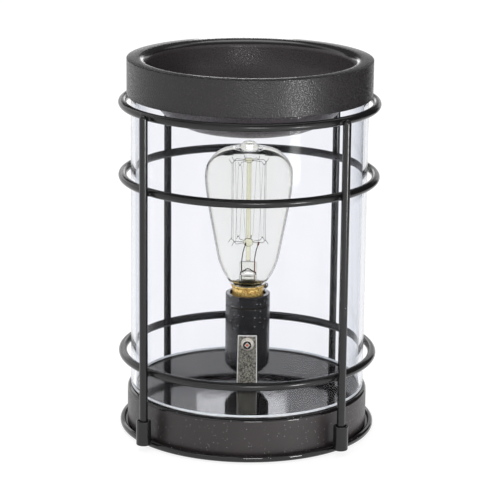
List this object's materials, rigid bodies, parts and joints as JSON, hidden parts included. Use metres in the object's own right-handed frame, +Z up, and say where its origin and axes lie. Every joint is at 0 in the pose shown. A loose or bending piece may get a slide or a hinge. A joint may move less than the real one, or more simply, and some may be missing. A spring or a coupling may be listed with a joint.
{
  "type": "candle warmer",
  "caption": "Lantern-shaped electric wax warmer: black metal wax dish on a clear glass chimney in a wire cage, over a filament bulb on a round base.",
  "frame": {"origin": "middle of the underside of the base, on the surface it stands on", "axes": "+Z up, -Y is the front with the lamp bracket, +X to the right seen from the front"},
  "size_m": [0.1104, 0.1104, 0.16],
  "materials": {
    "dish_powder_coat": "black powder coat with a fine grain",
    "clear_glass": "clear, smooth",
    "cage_paint": "black satin paint",
    "base_gloss_paint": "black gloss paint",
    "foam_pad": "black foam",
    "plated_steel": "dull nickel plating",
    "inner_wire": "fine drawn wire",
    "screw_copper": "copper-coloured plating",
    "brass": "bright brass",
    "black_resin": "black moulded resin",
    "white_insulator": "white moulded insulator",
    "lead_insulation": "black insulation",
    "stem_glass": "clear glass with a faint yellow tint"
  },
  "bodies": {
    "base": {"top_ring": "cage_paint", "middle_ring": "cage_paint", "lower_ring": "cage_paint", "rod_front_left": "cage_paint", "rod_front_right": "cage_paint", "rod_back_left": "cage_paint", "rod_back_right": "cage_paint", "ferrule_front_left": "cage_paint", "ferrule_front_right": "cage_paint", "ferrule_back_left": "cage_paint", "ferrule_back_right": "cage_paint", "base_drum": "base_gloss_paint", "base_pan": "base_gloss_paint", "base_pad": "foam_pad", "cover_post_1": "plated_steel", "cover_post_2": "plated_steel", "cover_post_3": "plated_steel", "cover_screw_1": "plated_steel", "cover_screw_2": "plated_steel", "cover_screw_3": "plated_steel", "lamp_bracket": "plated_steel", "bracket_washer": "plated_steel", "bracket_screw": "screw_copper", "bracket_rivet": "brass", "holder_shell": "brass", "centre_contact": "brass", "terminal_screw_left": "brass", "terminal_screw_right": "brass", "block_screw_left": "brass", "block_screw_right": "brass", "cord_inlet": "black_resin", "holder_body": "black_resin", "holder_collar": "black_resin", "contact_base": "white_insulator", "terminal_block": "white_insulator", "lead_left": "lead_insulation", "lead_right": "lead_insulation"},
    "chimney": {"glass_chimney": "clear_glass"},
    "dish": {"wax_dish": "dish_powder_coat"},
    "bulb": {"bulb_glass": "clear_glass", "bulb_cap": "brass", "cap_insulator": "black_resin", "end_contact": "plated_steel", "bulb_stem": "stem_glass", "bulb_arbor": "stem_glass", "lead_in_left": "inner_wire", "lead_in_right": "inner_wire", "lower_spider": "inner_wire", "upper_spider": "inner_wire", "filament": "inner_wire"}
  },
  "joints": [
    {"name": "glass_lift", "type": "slide", "parent": "base", "child": "chimney", "axis": [0, 0, 1], "range_m": [0, 0.145]},
    {"name": "dish_lift", "type": "slide", "parent": "chimney", "child": "dish", "axis": [0, 0, 1], "range_m": [0, 0.06]},
    {"name": "bulb_turn", "type": "hinge", "parent": "base", "child": "bulb", "pos_m": [0, 0, 0.055], "axis": [0, 0, 1], "range_deg": [0, 1500]}
  ]
}
